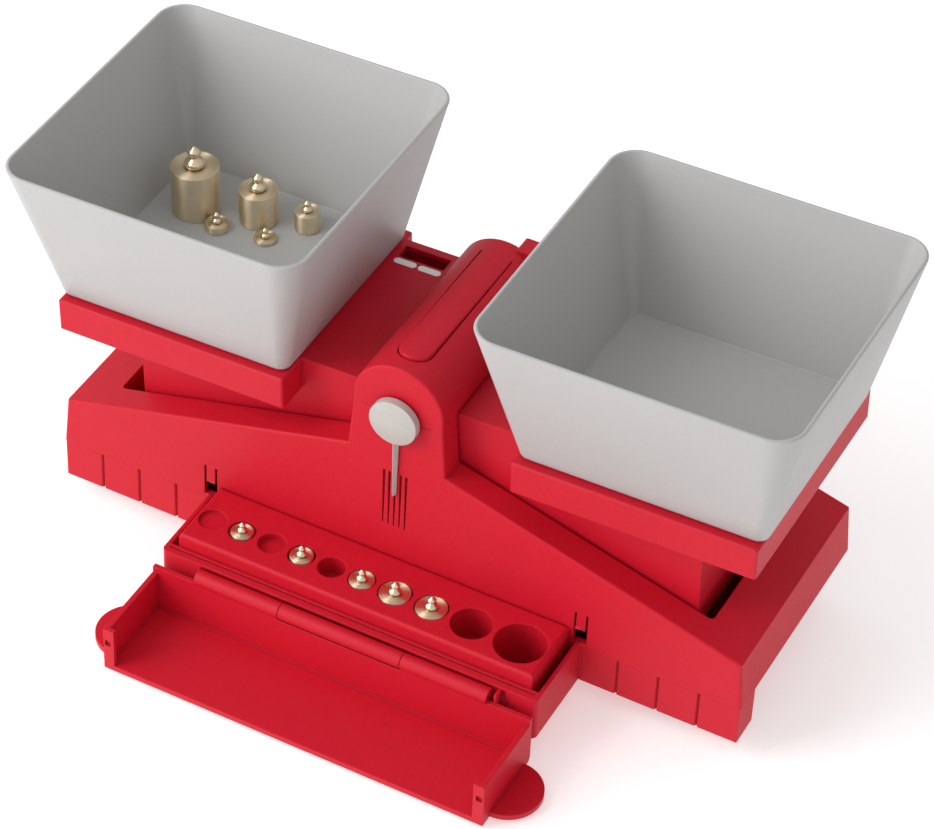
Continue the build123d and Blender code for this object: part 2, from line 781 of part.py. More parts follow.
with BuildPart() as brake_tongue:
    with BuildSketch(Plane.XY.offset(arch_level)):
        tongue_plan(0, 0)
    extrude(amount=arch_radius + tongue_lift + overrun)
    with BuildSketch(rise_plane):
        Circle(arch_radius)
        Circle(arch_radius - cap_wall, mode=Mode.SUBTRACT)
    extrude(amount=tongue_length + cap_wall, mode=Mode.INTERSECT)
    nose_edges = brake_tongue.edges().filter_by(
        lambda e: e.center().Y < -tongue_front + tongue_width / 2 and e.center().Z > crown - cap_wall
    )
    fillet(nose_edges.sort_by(Axis.Z)[-1], radius=tongue_round)
    with BuildSketch(Plane.XY.offset(rib_low)):
        with Locations((0, -brake_rib_line)):
            Rectangle(brake_rib_width, brake_rib_depth)
    extrude(amount=crown - cap_wall / 2 - rib_low)
label_and_write(brake_tongue.part, "brake_tongue")


# Beam: one moulding of two trays, two deep boxes, the arms between them and a keel
beam_top = pivot
arm_front = well_front - beam_gap
arm_back = well_back - beam_gap
beam_middle = (arm_back - arm_front) / 2
beam_depth = arm_back + arm_front
box_low = pivot - box_drop
beam_skin = beam_top - beam_plate
keel_middle = (tower_front - well_front) / 2
keel_spacing = tower_front + well_front - 2 * keel_inset
ballast_length = tower_front + well_front - 2 * ballast_inset


def tray_places():
    return Locations((-tray_spacing / 2, 0), (tray_spacing / 2, 0))


right_outline = [
    (box_outer, beam_top),
    (box_outer, box_low),
    (box_inner, box_low),
    (box_inner, beam_top - arm_skirt),
]
left_outline = [(-x, z) for x, z in reversed(right_outline)]


# Room that hollows the arms and boxes from below, inside their walls
with BuildPart() as box_room:
    with BuildSketch(front_plane(arm_back - beam_wall)):
        with Locations((0, (beam_skin + box_low - overrun) / 2)):
            Rectangle(2 * (box_outer - beam_wall), beam_skin - box_low + overrun)
    extrude(amount=beam_depth - 2 * beam_wall)

with BuildPart() as balance_beam:
    with BuildSketch(front_plane(arm_back)):
        with BuildLine():
            Polyline(*right_outline, *left_outline, close=True)
        make_face()
    extrude(amount=beam_depth)
    # Trays with a hanging rim
    with BuildSketch(Plane.XY.offset(beam_top)):
        with tray_places():
            RectangleRounded(tray_length, tray_depth, tray_corner)
    extrude(amount=-tray_rim)
    tray_edges = balance_beam.edges().filter_by(
        lambda e: abs(e.center().Z - beam_top) < fit and abs(e.center().X) > tray_spacing / 4
    )
    outer_edges = tray_edges.filter_by(
        lambda e: abs(e.center().Y) > arm_back + fit
        or abs(e.center().X) > tray_spacing / 2 + tray_length / 2 - tray_corner
    )
    chamfer(outer_edges, length=tray_bevel)
    with BuildSketch(Plane.XY.offset(beam_skin)):
        with tray_places():
            RectangleRounded(
                tray_length - 2 * beam_wall, tray_depth - 2 * beam_wall, tray_corner / 2
            )
        with Locations((0, beam_middle)):
            Rectangle(2 * box_outer, beam_depth, mode=Mode.SUBTRACT)
    extrude(amount=-(tray_rim + overrun), mode=Mode.SUBTRACT)
    add(box_room.part, mode=Mode.SUBTRACT)
    # Notch that clears the rear tower
    notch_front = tower_front - beam_gap
    notch_depth = arm_back + overrun - notch_front
    notch_width = shoulder_width + 2 * beam_gap
    with BuildSketch(Plane.XY.offset(box_low - overrun)):
        with Locations((0, notch_front + notch_depth / 2)):
            Rectangle(notch_width, notch_depth)
    extrude(amount=beam_top - box_low + 2 * overrun, mode=Mode.SUBTRACT)
    with BuildSketch(Plane.XY.offset(beam_top)):
        with Locations((0, notch_front - beam_wall / 2)):
            Rectangle(notch_width, beam_wall)
        with Locations(
            (-(notch_width + beam_wall) / 2, (notch_front - beam_wall + arm_back) / 2),
            ((notch_width + beam_wall) / 2, (notch_front - beam_wall + arm_back) / 2),
        ):
            Rectangle(beam_wall, arm_back - notch_front + beam_wall)
    extrude(amount=-arm_skirt)
    with BuildSketch(Plane.XY.offset(beam_top - arm_skirt)):
        with Locations((0, notch_front + notch_depth / 2)):
            Rectangle(shoulder_width + 2 * notch_room, notch_depth)
    extrude(amount=-(beam_top - arm_skirt - box_low + overrun), mode=Mode.SUBTRACT)
    # Cross tube for the shaft
    with BuildSketch(front_plane(notch_front)):
        with Locations((0, pivot)):
            Circle(boss_radius)
    extrude(amount=notch_front + arm_front)
    # Keel plates below the arms that carry the ballast
    for side in (-1, 1):
        keel_line = keel_middle + side * keel_spacing / 2
        with BuildSketch(front_plane(keel_line + keel_thickness / 2)):
            with BuildLine():
                Polyline(
                    (-keel_width / 2, beam_top - beam_plate / 2),
                    (keel_width / 2, beam_top - beam_plate / 2),
                    (keel_foot_width / 2, pivot - keel_drop),
                    (-keel_foot_width / 2, pivot - keel_drop),
                    close=True,
                )
            make_face()
        extrude(amount=keel_thickness)
    with BuildSketch(front_plane(arm_back)):
        with Locations((0, pivot - ballast_drop)):
            Circle(ballast_diameter / 2 + fit)
        with Locations((0, pivot)):
            Circle(shaft_diameter / 2 + fit)
    extrude(amount=beam_depth, mode=Mode.SUBTRACT)
    # Window and two slots at the back of the left arm
    with BuildSketch(Plane.XY.offset(beam_skin - overrun)):
        with Locations((-window_x, window_line)):
            Rectangle(window_length, window_depth)
        with Locations(
            (-window_x - slot_pitch / 2, slot_line), (-window_x + slot_pitch / 2, slot_line)
        ):
            SlotOverall(slot_length, slot_width)
    extrude(amount=beam_plate + 2 * overrun, mode=Mode.SUBTRACT)
label_and_write(balance_beam.part, "balance_beam", rest_lean)

with BuildPart() as ballast_rod:
    with BuildSketch(front_plane(keel_middle + ballast_length / 2)):
        with Locations((0, pivot - ballast_drop)):
            Circle(ballast_diameter / 2)
    extrude(amount=ballast_length)
    chamfer(ballast_rod.edges(), length=edge_round)
label_and_write(ballast_rod.part, "ballast_rod", rest_lean)

with BuildPart() as trim_clip:
    with BuildSketch(Plane.XY.offset(beam_skin - fit - clip_thickness)):
        with Locations((-window_x, slot_line - (clip_depth - slot_width) / 2)):
            Rectangle(slot_pitch + slot_length, clip_depth)
    extrude(amount=clip_thickness)
    with BuildSketch(Plane.XY.offset(beam_skin - fit - clip_thickness / 2)):
        with Locations(
            (-window_x - slot_pitch / 2, slot_line), (-window_x + slot_pitch / 2, slot_line)
        ):
            SlotOverall(slot_length - 2 * fit, slot_width - 2 * fit)
    extrude(amount=beam_plate + clip_thickness / 2 + fit)
label_and_write(trim_clip.part, "trim_clip", rest_lean)


# Shaft, its two flanged bushes and the pointer
knob_back = hub_face - knob_gap
knob_front = knob_back - knob_thickness
shaft_front = knob_back - knob_bore_depth + fit
flange_thickness = beam_gap - thrust_gap - fit

with BuildPart() as pivot_shaft:
    with BuildSketch(front_plane(seat_back - fit)):
        with Locations((0, pivot)):
            Circle(shaft_diameter / 2)
    extrude(amount=seat_back - fit - shaft_front)
label_and_write(pivot_shaft.part, "pivot_shaft", rest_lean)


def make_bush(outer_end, wall_face, name):
    """Bush from outer_end to the wall's face, with a flange that keeps the beam off the wall."""
    away = 1 if wall_face > outer_end else -1
    with BuildPart() as bush:
        with BuildSketch(front_plane(outer_end)):
            with Locations((0, pivot)):
                Circle(bush_diameter / 2)
        extrude(amount=-(wall_face - outer_end + away * fit))
        with BuildSketch(front_plane(wall_face + away * fit)):
            with Locations((0, pivot)):
                Circle(bush_flange / 2)
        extrude(amount=-away * flange_thickness)
        with BuildSketch(front_plane(base_depth)):
            with Locations((0, pivot)):
                Circle(shaft_diameter / 2 + fit)
        extrude(amount=2 * base_depth, mode=Mode.SUBTRACT)
    label_and_write(bush.part, name)


make_bush(hub_face + edge_round, -well_front, "front_bush")
make_bush(seat_back - fit, tower_front, "rear_bush")

with BuildPart() as pointer:
    with BuildSketch(Plane.XY.offset(pivot)):
        with BuildLine():
            Polyline(
                (0, knob_front - knob_dome), (0, knob_back), (knob_radius, knob_back),
                (knob_radius, knob_front),
            )
            TangentArc((0, knob_front - knob_dome), (knob_radius, knob_front), tangent=(1, 0))
        make_face()
    revolve(axis=Axis((0, 0, pivot), (0, 1, 0)))
    # Needle below the knob, with a ridge along its middle
    needle_ends = [
        (pivot, needle_width, needle_depth),
        (pivot - needle_reach, needle_tip_width, needle_tip_depth),
    ]
    for level, width, depth in needle_ends:
        with BuildSketch(Plane.XY.offset(level)):
            with BuildLine():
                Polyline(
                    (-width / 2, knob_back),
                    (0, knob_back - depth),
                    (width / 2, knob_back),
                    close=True,
                )
            make_face()
    loft()
    with BuildSketch(front_plane(knob_back)):
        with Locations((0, pivot)):
            Circle(shaft_diameter / 2 + fit)
    extrude(amount=knob_bore_depth, mode=Mode.SUBTRACT)
label_and_write(pointer.part, "pointer")


# Buckets: tapered square pails with round corners, seated on the beam's trays
def make_bucket(x, name):
    with BuildPart() as bucket:
        with BuildSketch(Plane.XY.offset(beam_top)):
            with Locations((x, 0)):
                RectangleRounded(bucket_foot, bucket_foot_depth, foot_corner)
        with BuildSketch(Plane.XY.offset(beam_top + bucket_height)):
            with Locations((x, 0)):
                RectangleRounded(bucket_mouth, bucket_mouth, mouth_corner)
        loft(ruled=True)
        fillet(bucket.edges().group_by(Axis.Z)[0], radius=foot_round)
        floor_share = bucket_floor / bucket_height
        inner_foot = bucket_foot + (bucket_mouth - bucket_foot) * floor_share - 2 * bucket_wall
        inner_depth = inner_foot - (bucket_foot - bucket_foot_depth) * (1 - floor_share)
        with BuildSketch(Plane.XY.offset(beam_top + bucket_floor)):
            with Locations((x, 0)):
                RectangleRounded(inner_foot, inner_depth, foot_corner - bucket_wall)
        with BuildSketch(Plane.XY.offset(beam_top + bucket_height)):
            with Locations((x, 0)):
                inner_mouth = bucket_mouth - 2 * bucket_wall
                RectangleRounded(inner_mouth, inner_mouth, mouth_corner - bucket_wall)
        loft(ruled=True, mode=Mode.SUBTRACT)
    label_and_write(bucket.part, name, rest_lean)


make_bucket(-bucket_spacing / 2, "left_bucket")
make_bucket(bucket_spacing / 2, "right_bucket")


# Brass weights: a turned body with a bevelled rim, and a knob with two beads and a finial
def make_weight(kind, x, y, level, name, lean=0):
    body_diameter, body_height, knob_diameter, knob_height = weight_sizes[kind]
    radius = body_diameter / 2
    knob = knob_diameter / 2

    def on_knob(shares):
        """Point of the knob's profile from its shares of the radius and height."""
        return (shares[0] * knob, body_height + shares[1] * knob_height)

    stem = [on_knob(shares) for shares in stem_shares]
    finial = [on_knob(shares) for shares in finial_shares]
    neck = on_knob(neck_shares)
    tip = (0, body_height + knob_height)
    with BuildPart() as weight:
        with BuildSketch(Plane((x, y, level), x_dir=(1, 0, 0), z_dir=(0, -1, 0))):
            with BuildLine():
                Polyline(
                    tip,
                    (0, 0),
                    (radius - body_bevel, 0),
                    (radius, body_bevel),
                    (radius, body_height - body_bevel),
                    (radius - body_bevel, body_height),
                    *stem,
                )
                ThreePointArc(stem[-1], on_knob(low_bead_shares), neck)
                ThreePointArc(neck, on_knob(high_bead_shares), finial[0])
                Line(finial[0], finial[1])
                TangentArc(tip, finial[1], tangent=(1, 0))
            make_face()
        revolve(axis=Axis((x, y, level), (0, 0, 1)))
    label_and_write(weight.part, name, lean)


loose_weights = {
    "50g": "weight_50g",
    "20g": "weight_20g",
    "5g": "weight_5g_loose",
    "2g": "weight_2g_loose",
    "1g": "weight_1g_loose",
}
for kind, name in loose_weights.items():
    share_x, share_y = loose_place_shares[kind]
    loose_x = -bucket_spacing / 2 + share_x * bucket_foot
    loose_y = share_y * bucket_foot
    make_weight(kind, loose_x, loose_y, beam_top + bucket_floor, name, rest_lean)

racked_weights = {
    1: "weight_1g_racked",
    3: "weight_2g_racked",
    5: "weight_5g_racked",
    6: "weight_10g_left",
    7: "weight_10g_right",
}
for index, name in racked_weights.items():
    kind, size, hole_x = rack_holes[index]
    make_weight(kind, hole_x, -hole_line, rack_top - weight_sizes[kind][1] + weight_proud, name)
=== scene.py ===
# %% [markdown]
# A school balance with two buckets, dressed in Blender.
# The solids come from the CAD model, already in place and in metres. X runs along the beam
# to the right bucket, Y runs to the back and Z is up. This notebook gives them their
# plastics and metals, models the buckets and the brass weights again with finer shapes,
# and sets up floor, light and camera.

# %% Load the solids as a fixed frame
from math import cos, hypot, pi, radians, sin

import bpy
from mathutils import Matrix, Vector


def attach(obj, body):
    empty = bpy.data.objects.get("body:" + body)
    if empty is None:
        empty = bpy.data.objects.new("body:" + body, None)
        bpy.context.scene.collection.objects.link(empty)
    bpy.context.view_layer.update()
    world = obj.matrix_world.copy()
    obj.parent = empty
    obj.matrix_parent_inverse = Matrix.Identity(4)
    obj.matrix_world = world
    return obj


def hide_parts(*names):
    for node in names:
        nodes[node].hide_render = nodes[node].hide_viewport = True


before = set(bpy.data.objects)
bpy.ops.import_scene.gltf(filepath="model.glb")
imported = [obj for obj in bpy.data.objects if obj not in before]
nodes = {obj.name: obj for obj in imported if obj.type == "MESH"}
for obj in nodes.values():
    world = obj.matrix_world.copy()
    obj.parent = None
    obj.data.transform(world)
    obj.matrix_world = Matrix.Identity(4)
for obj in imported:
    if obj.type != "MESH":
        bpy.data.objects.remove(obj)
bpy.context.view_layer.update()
MM = 0.001

# %% [markdown]
# Shader maths is easier to read as Python than as wires. A small class wraps one socket of a
# node tree, and its operators add the Math nodes. Every other node comes from one method,
# which makes the settings first and fills the sockets after them.

# %% A socket that can be calculated with


class Wire:
    """One output socket of a node tree."""

    def __init__(self, tree, socket=None):
        self.tree = tree
        self.socket = socket

    def make(self, kind, settings=None, values=None, out=0):
        """Add a node, make its settings, then fill its sockets with values or wires."""
        node = self.tree.nodes.new(kind)
        for name, setting in (settings or {}).items():
            setattr(node, name, setting)
        for name, value in (values or {}).items():
            if isinstance(value, Wire):
                self.tree.links.new(value.socket, node.inputs[name])
            else:
                node.inputs[name].default_value = value
        return Wire(self.tree, node.outputs[out]) if node.outputs else None

    def math(self, operation, first, second):
        return self.make("ShaderNodeMath", {"operation": operation}, {0: first, 1: second})

    def __add__(self, other):
        return self.math("ADD", self, other)

    def __sub__(self, other):
        return self.math("SUBTRACT", self, other)

    def __rsub__(self, other):
        return self.math("SUBTRACT", other, self)

    def __mul__(self, other):
        return self.math("MULTIPLY", self, other)

    __radd__ = __add__
    __rmul__ = __mul__


# %% Begin and end of a material


def clear_material(name):
    """New material with no nodes, and the wire that its nodes start from."""
    material = bpy.data.materials.new(name)
    material.use_nodes = True
    material.node_tree.nodes.clear()
    return material, Wire(material.node_tree)


def close_material(start, shader_values):
    """Put the shader and the output behind all that was made."""
    shader = start.make("ShaderNodeBsdfPrincipled", None, shader_values)
    start.make("ShaderNodeOutputMaterial", None, {"Surface": shader})


# %% [markdown]
# The finishes need the same few things again and again: two colours mixed by a share, a noise
# that breaks up an even surface, shading that rounds the sharp edges, a measure of how open a
# point lies, and a value that rises between two marks.

# %% Nodes that several finishes share
NODE_SAMPLES = 4


def mix_colours(start, share, colour, other):
    """Colour that goes over to another one by a share, each a triple or a wire."""
    first = colour if isinstance(colour, Wire) else (*colour, 1)
    second = other if isinstance(other, Wire) else (*other, 1)
    return start.make("ShaderNodeMix", {"data_type": "RGBA"}, {0: share, 6: first, 7: second}, 2)


def noise(start, place, scale, detail, roughness=0.6):
    """Noise round one half, with about so many patches to the metre."""
    return start.make(
        "ShaderNodeTexNoise", None,
        {"Vector": place, "Scale": scale, "Detail": detail, "Roughness": roughness},
    )


def rounded_normal(start, radius):
    """Normal that shades the sharp edges as if they were rounded."""
    return start.make("ShaderNodeBevel", {"samples": NODE_SAMPLES}, {"Radius": radius})


def openness(start, reach):
    """How open a point lies beside its own piece: 1 in the open, less in a corner."""
    return start.make(
        "ShaderNodeAmbientOcclusion", {"samples": NODE_SAMPLES, "only_local": True},
        {"Distance": reach}, 1,
    )


def rise(start, value, low, high, top=1.0):
    """0 up to a low mark, the top from a high one on, and evenly up between them."""
    return start.make(
        "ShaderNodeMapRange", {"clamp": True},
        {"Value": value, "From Min": low, "From Max": high, "To Min": 0.0, "To Max": top},
    )


def dot_product(start, first, second):
    """1 where two directions agree, 0 where they are square to each other."""
    return start.make(
        "ShaderNodeVectorMath", {"operation": "DOT_PRODUCT"}, {0: first, 1: second}, 1
    )


# %% [markdown]
# All the plastics share one recipe. A moulded plastic is one colour with faint clouds in it and
# a fine grain from the spark-eroded mould, which breaks up its highlights. Its edges are shaded
# as a little rounded, and a paler colour painted along them is a painted highlight, the light
# that a rounded edge catches. Its inner corners get painted shade, a darker colour where shade
# falls.
# The Bevel node rounds the shading at the edges. Where its normal turns away from the face's
# own normal there is an edge, so the same node also gives the mask for the painted highlight. The
# Ambient Occlusion node finds the inner corners for the painted shade.

# %% Recipe for a moulded plastic
CLOUD_SCALE = 22.0
MOTTLE_SCALE = 420.0
# How strongly each noise tints the colour, and what is taken off so that much stays untinted
TINT_SHARE = 0.5
TINT_START = 0.35
# How far the rounded normal has turned where an edge begins, and where it is fully there
EDGE_START = 0.02
EDGE_FULL = 0.16
# Share of the paler colour painted on the edges as their highlight
EDGE_HIGHLIGHT_SHARE = 0.45
# Reach, share and darkness of the painted shade that darkens the inner corners
CORNER_SHADE_REACH = 0.0016
CORNER_SHADE_SHARE = 0.55
CORNER_SHADE_DARKNESS = 0.35
GRAIN_GLOSS = 0.25
CLOUD_GLOSS = 0.12


def edge_mask(start, rounded):
    """Where the rounded normal turns away from the face's own: 1 on an edge, 0 elsewhere."""
    flat = start.make("ShaderNodeNewGeometry", None, None, "Normal")
    return rise(start, 1 - dot_product(start, rounded, flat), EDGE_START, EDGE_FULL)


def moulded_plastic(
    name, colour, shade, edge_highlight_colour, *, roughness, grain_size, grain_height, edge, sheen=0.5
):
    """Plastic that clouds over to a shade, with a grain, a painted highlight on its edges and
    painted shade in its inner corners.
    """
    material, start = clear_material(name)
    place = start.make("ShaderNodeTexCoord", None, None, "Object")
    clouds = noise(start, place, CLOUD_SCALE, 3.0, 0.5)
    mottle = noise(start, place, MOTTLE_SCALE, 2.0)
    grain = noise(start, place, 1 / grain_size, 2.0)
    rounded = rounded_normal(start, edge)
    corner = openness(start, CORNER_SHADE_REACH)

    tint = clouds * TINT_SHARE + mottle * TINT_SHARE + grain * TINT_SHARE - TINT_START
    tinted = mix_colours(start, tint, colour, shade)
    # Painted shade: inner corners are mixed towards a darker copy of the shade colour
    corner_shade_colour = tuple(part * CORNER_SHADE_DARKNESS for part in shade)
    corner_shaded = mix_colours(start, (1 - corner) * CORNER_SHADE_SHARE, tinted, corner_shade_colour)
    # Painted highlight: edges are mixed towards a paler colour
    edge_highlight = edge_mask(start, rounded) * EDGE_HIGHLIGHT_SHARE * corner
    base = mix_colours(start, edge_highlight, corner_shaded, edge_highlight_colour)

    gloss = (grain - 0.5) * GRAIN_GLOSS + (clouds - 0.5) * CLOUD_GLOSS + roughness
    bumped = start.make(
        "ShaderNodeBump", None,
        {"Strength": 1.0, "Distance": grain_height, "Height": grain, "Normal": rounded},
    )
    close_material(
        start,
        {"Base Color": base, "Roughness": gloss, "Specular IOR Level": sheen, "Normal": bumped},
    )
    return material


# %% [markdown]
# The housing has the coarsest grain. The beam and the lid come from finer moulds, and the
# red of the beam is a trace deeper. The reds are matt, so that their dark sides stay dark.

# %% The red plastics
RED = (0.62, 0.0080, 0.025)
BEAM_RED = (0.61, 0.0078, 0.025)
DEEP_RED = (0.50, 0.005, 0.020)
# Paler red painted on the edges as their highlight
EDGE_HIGHLIGHT_RED = (0.74, 0.040, 0.060)
RED_SHEEN = 0.26
red_housing = moulded_plastic(
    "red_housing", RED, DEEP_RED, EDGE_HIGHLIGHT_RED,
    roughness=0.52, grain_size=0.0006, grain_height=0.00006, edge=0.0006, sheen=RED_SHEEN,
)
red_compartment = moulded_plastic(
    "red_compartment", RED, DEEP_RED, EDGE_HIGHLIGHT_RED,
    roughness=0.48, grain_size=0.0005, grain_height=0.00005, edge=0.0005, sheen=RED_SHEEN,
)
red_beam = moulded_plastic(
    "red_beam", BEAM_RED, DEEP_RED, EDGE_HIGHLIGHT_RED,
    roughness=0.48, grain_size=0.0005, grain_height=0.00005, edge=0.0006, sheen=RED_SHEEN,
)
print("reds", red_housing.name, red_compartment.name, red_beam.name)

# %% [markdown]
# The buckets are a smooth satin grey. The clip and the bushes are white, the pointer's knob is
# a warmer grey and glossier than the rest, and the feet are dull black rubber.

# %% The other plastics and the rubber
# The third colour of each finish is the paler colour painted on its edges as their highlight
grey_bucket = moulded_plastic(
    "grey_bucket", (0.465, 0.463, 0.458), (0.435, 0.430, 0.422), (0.56, 0.555, 0.545),
    roughness=0.44, grain_size=0.0007, grain_height=0.00004, edge=0.0003,
)
white_trim = moulded_plastic(
    "white_trim", (0.95, 0.95, 0.94), (0.88, 0.88, 0.86), (0.97, 0.97, 0.96),
    roughness=0.40, grain_size=0.0009, grain_height=0.00002, edge=0.0003,
)
knob_plastic = moulded_plastic(
    "knob_plastic", (0.52, 0.505, 0.475), (0.40, 0.385, 0.355), (0.68, 0.67, 0.63),
    roughness=0.36, grain_size=0.0006, grain_height=0.00003, edge=0.0004,
)
rubber = moulded_plastic(
    "rubber", (0.03, 0.03, 0.03), (0.05, 0.05, 0.05), (0.08, 0.08, 0.08),
    roughness=0.70, grain_size=0.0010, grain_height=0.00006, edge=0.0006,
)
print("others", grey_bucket.name, white_trim.name, knob_plastic.name, rubber.name)

# %% [markdown]
# The steel parts are ground, with their edges broken, and a little stained. They are mostly
# hidden inside the housing, so one noise for colour and gloss is enough.

# %% Ground steel
STEEL_EDGE = 0.0002
STEEL_ROUGHNESS = 0.35
STAIN_SCALE = 260.0
STAIN_GLOSS = 0.3


def ground_steel():
    material, start = clear_material("steel")
    place = start.make("ShaderNodeTexCoord", None, None, "Object")
    stains = noise(start, place, STAIN_SCALE, 4.0)
    base = mix_colours(start, stains, (0.62, 0.62, 0.62), (0.45, 0.45, 0.46))
    gloss = (stains - 0.5) * STAIN_GLOSS + STEEL_ROUGHNESS
    rounded = rounded_normal(start, STEEL_EDGE)
    close_material(
        start, {"Base Color": base, "Metallic": 1.0, "Roughness": gloss, "Normal": rounded}
    )
    return material


steel = ground_steel()
print("steel", len(steel.node_tree.nodes), "nodes")

# %% [markdown]
# The weights are turned from brass. The tool leaves fine rings that run round the axis, so the
# colour, the gloss and the bump follow the way along the turned outline. That way is kept on
# the mesh as an attribute called turning, and a one-dimensional noise reads it.
# The rings also draw every highlight out across them, which gives the sides their upright bands,
# so the shader is anisotropic, turned by a quarter. The flat faces are turned more coarsely than
# the sides, which the normal tells apart, and the knobs are polished, which a second attribute
# tells. The necks of the knob and other closed-in hollows get painted shade: where the Ambient
# Occlusion node finds them closed in, the colour goes over to a dark brown.

# %% Sizes and shares of the brass finish
RINGS_PER_METRE = 9000.0
TARNISH_SCALE = 170.0
RING_START = 0.35
RING_SHARE = 0.5
RING_HEIGHT = 0.00004
RING_BUMP = 0.6
# Reach and share of the painted shade in the knob's necks
NECK_SHADE_REACH = 0.0018
NECK_SHADE_SHARE = 0.65
# How far up the normal points where a face begins to count as flat, and where it is flat
FLAT_START = 0.90
FLAT_FULL = 0.99
SIDE_ROUGHNESS = 0.38
FLAT_ROUGHER = 0.15
KNOB_SMOOTHER = 0.27
BRASS_GLOSS = 0.10
STRETCH = 0.95
QUARTER_TURN = 0.25

# %% Turned brass


def turned_brass():
    material, start = clear_material("brass")
    place = start.make("ShaderNodeTexCoord", None, None, "Object")
    turning = start.make("ShaderNodeAttribute", {"attribute_name": "turning"}, None, "Fac")
    knob = start.make("ShaderNodeAttribute", {"attribute_name": "knob"}, None, "Fac")
    rings = start.make(
        "ShaderNodeTexNoise", {"noise_dimensions": "1D"},
        {"W": turning * RINGS_PER_METRE, "Scale": 1.0, "Detail": 2.0, "Roughness": 0.6},
    )
    tarnish = noise(start, place, TARNISH_SCALE, 4.0)

    gold = mix_colours(start, tarnish, (0.95, 0.82, 0.60), (0.80, 0.65, 0.43))
    ringed = mix_colours(start, (rings - RING_START) * RING_SHARE, gold, (0.54, 0.41, 0.25))
    # Painted shade: the closed-in necks are mixed towards a dark brown
    neck_shade = (1 - openness(start, NECK_SHADE_REACH)) * NECK_SHADE_SHARE
    base = mix_colours(start, neck_shade, ringed, (0.16, 0.10, 0.05))

    facing = start.make("ShaderNodeTexCoord", None, None, "Normal")
    upward = start.make("ShaderNodeSeparateXYZ", None, {"Vector": facing}, "Z")
    flat = rise(start, upward, FLAT_START, FLAT_FULL, FLAT_ROUGHER)
    uneven = (tarnish - 0.5) * BRASS_GLOSS + (rings - 0.5) * BRASS_GLOSS
    gloss = uneven + flat + SIDE_ROUGHNESS - knob * KNOB_SMOOTHER
    bumped = start.make(
        "ShaderNodeBump", None, {"Strength": RING_BUMP, "Distance": RING_HEIGHT, "Height": rings}
    )
    close_material(
        start,
        {"Base Color": base, "Metallic": 1.0, "Roughness": gloss, "Anisotropic": STRETCH,
         "Anisotropic Rotation": QUARTER_TURN, "Normal": bumped},
    )
    return material


brass = turned_brass()
print("brass", len(brass.node_tree.nodes), "nodes")

# %% Give each solid its material
finishes = {
    red_housing: ["base_tray", "upper_housing", "hub_cap", "brake_tongue"],
    red_compartment: ["weight_rack", "lid"],
    red_beam: ["balance_beam"],
    grey_bucket: ["left_bucket", "right_bucket"],
    white_trim: ["trim_clip", "front_bush", "rear_bush"],
    knob_plastic: ["pointer"],
    steel: ["pivot_shaft", "hinge_pin", "base_screws", "ballast_rod"],
    rubber: ["rubber_feet"],
    brass: [name for name in nodes if name.startswith("weight_") and name != "weight_rack"],
}
for material, names in finishes.items():
    for name in names:
        mesh = nodes[name].data
        mesh.materials.clear()
        mesh.materials.append(material)
print("finishes", len(finishes), "on solids", sum(len(names) for names in finishes.values()))

# %% [markdown]
# The new pieces are drawn in millimetres about the base's middle plane, as in the CAD model,
# with the beam level. A finished piece is then leaned with the beam, where it rides on it,
# moved into the frame and shrunk to metres. All that is applied to its mesh, so that its object
# stays at the origin.

# %% Place a finished piece
REST_LEAN = radians(1.7)
BUCKET_HEIGHT = 59.0
BASE_X = BUCKET_HEIGHT * sin(REST_LEAN)
BASE_Y = 28.9
AXIS_Z = 96.0
SMOOTH_ANGLE = radians(35)


def select_nothing():
    """Deselect every object, so that the next step works on its own piece alone."""
    bpy.ops.object.select_all(action="DESELECT")


def copy_piece(pattern, place):
    """Copy of a piece with its own mesh, put at a place."""
    piece = pattern.copy()
    piece.data = pattern.data.copy()
    bpy.context.scene.collection.objects.link(piece)
    piece.matrix_world = Matrix.Translation(place)
    return piece


def finish_piece(piece, name, body, material, lean=REST_LEAN):
    """Name a piece drawn in millimetres, lean it, shrink it to metres and hang it on its body."""
    axis = Matrix.Translation((BASE_X, BASE_Y, AXIS_Z))
    turn = axis @ Matrix.Rotation(-lean, 4, "Y") @ Matrix.Translation((0, 0, -AXIS_Z))
    piece.matrix_world = Matrix.Scale(MM, 4) @ turn @ piece.matrix_world
    bpy.context.view_layer.update()
    select_nothing()
    piece.select_set(True)
    bpy.context.view_layer.objects.active = piece
    bpy.ops.object.transform_apply(location=True, rotation=True, scale=True)
    piece.name = name
    piece.data.name = name
    piece.data.materials.clear()
    piece.data.materials.append(material)
    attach(piece, body)
    print(name, "faces", len(piece.data.polygons))


# %% [markdown]
# A bucket is a thin tapered pail. Its corners are tighter at the foot than at the mouth, so one
# block that is scaled can't give it. Two squares with rounded corners are laid at the foot and
# at the mouth, their faces are taken out, and the two outlines are bridged into a wall. Then
# the foot is filled and its edge rounded, Solidify gives the wall its thickness inwards, and a
# last bevel rounds the lip.

# %% Sizes of a bucket, in millimetres
BUCKET_FOOT = (90.6, 86.4)
BUCKET_MOUTH = 117.4
FOOT_CORNER = 4.0
MOUTH_CORNER = 11.0
CORNER_STEPS = 10
FOOT_BEVEL = 1.6
FOOT_STEPS = 4
LIP_BEVEL = 0.5
LIP_STEPS = 3
BUCKET_WALL = 1.5
# Heights that tell the edges of the foot and of the lip from the rest
FOOT_TOP = 0.1
LIP_BOTTOM = BUCKET_HEIGHT - 0.6

# %% Ways to draw a square, to pick edges and to use a modifier


